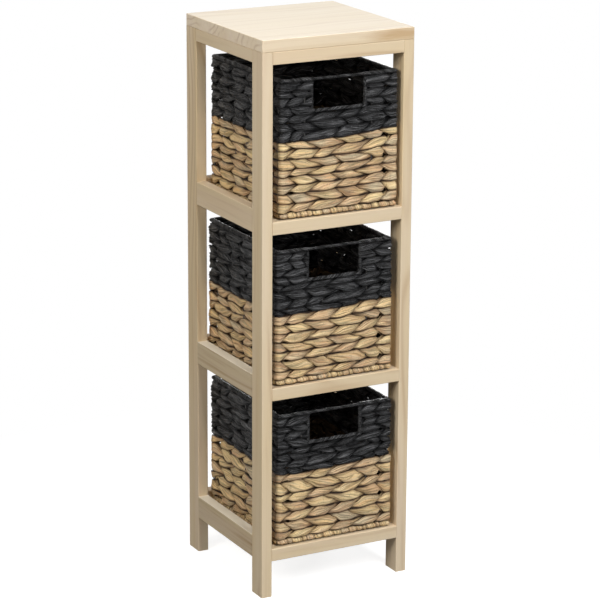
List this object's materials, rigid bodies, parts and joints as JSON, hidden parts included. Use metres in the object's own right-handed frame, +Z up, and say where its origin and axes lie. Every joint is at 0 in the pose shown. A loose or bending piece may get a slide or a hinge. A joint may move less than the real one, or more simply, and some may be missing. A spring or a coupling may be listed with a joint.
{
  "type": "bathroom storage tower",
  "caption": "Slim open wooden tower with a square top and shelves, each holding a deep woven plant-fibre basket, natural below and black above, with a hand hole in front.",
  "frame": {"origin": "on the floor under the middle of the tower", "axes": "+X to the right, -Y to the front where the baskets slide out, +Z up along the height"},
  "size_m": [0.235, 0.235, 0.8],
  "materials": {
    "wood": "pale softwood, planed and sanded, unfinished, eased edges",
    "panel_wood": "pale softwood panel, sanded, unfinished",
    "dowel_wood": "plain hardwood dowel, glued",
    "steel": "bright zinc-plated screw",
    "wire": "dark lacquered wire",
    "natural_fibre": "dried aquatic plant stalk, twined, satin, varied from straw to grey-brown",
    "black_fibre": "the same stalk painted black, low sheen"
  },
  "bodies": {
    "tower": {"top_board": "wood", "leg_front_left": "wood", "leg_front_right": "wood", "leg_back_left": "wood", "leg_back_right": "wood", "top_rail_front": "wood", "top_rail_back": "wood", "top_rail_left": "wood", "top_rail_right": "wood", "rail_front_top": "wood", "rail_front_middle": "wood", "rail_front_bottom": "wood", "rail_back_top": "wood", "rail_back_middle": "wood", "rail_back_bottom": "wood", "rail_left_top": "wood", "rail_left_middle": "wood", "rail_left_bottom": "wood", "rail_right_top": "wood", "rail_right_middle": "wood", "rail_right_bottom": "wood", "panel_top": "panel_wood", "panel_middle": "panel_wood", "panel_bottom": "panel_wood", "dowels_board": "dowel_wood", "dowels_top": "dowel_wood", "dowels_middle": "dowel_wood", "dowels_bottom": "dowel_wood", "screws_board": "steel"},
    "basket_top": {"basket_top_wires": "wire", "basket_top_lower_wall": "natural_fibre", "basket_top_upper_wall": "black_fibre", "basket_top_rim": "black_fibre", "basket_top_roll": "natural_fibre", "basket_top_base": "natural_fibre"},
    "basket_middle": {"basket_middle_wires": "wire", "basket_middle_lower_wall": "natural_fibre", "basket_middle_upper_wall": "black_fibre", "basket_middle_rim": "black_fibre", "basket_middle_roll": "natural_fibre", "basket_middle_base": "natural_fibre"},
    "basket_bottom": {"basket_bottom_wires": "wire", "basket_bottom_lower_wall": "natural_fibre", "basket_bottom_upper_wall": "black_fibre", "basket_bottom_rim": "black_fibre", "basket_bottom_roll": "natural_fibre", "basket_bottom_base": "natural_fibre"}
  },
  "joints": [
    {"name": "basket_top_slide", "type": "slide", "parent": "tower", "child": "basket_top", "axis": [0, -1, 0], "range_m": [0, 0.24]},
    {"name": "basket_middle_slide", "type": "slide", "parent": "tower", "child": "basket_middle", "axis": [0, -1, 0], "range_m": [0, 0.24]},
    {"name": "basket_bottom_slide", "type": "slide", "parent": "tower", "child": "basket_bottom", "axis": [0, -1, 0], "range_m": [0, 0.24]}
  ]
}
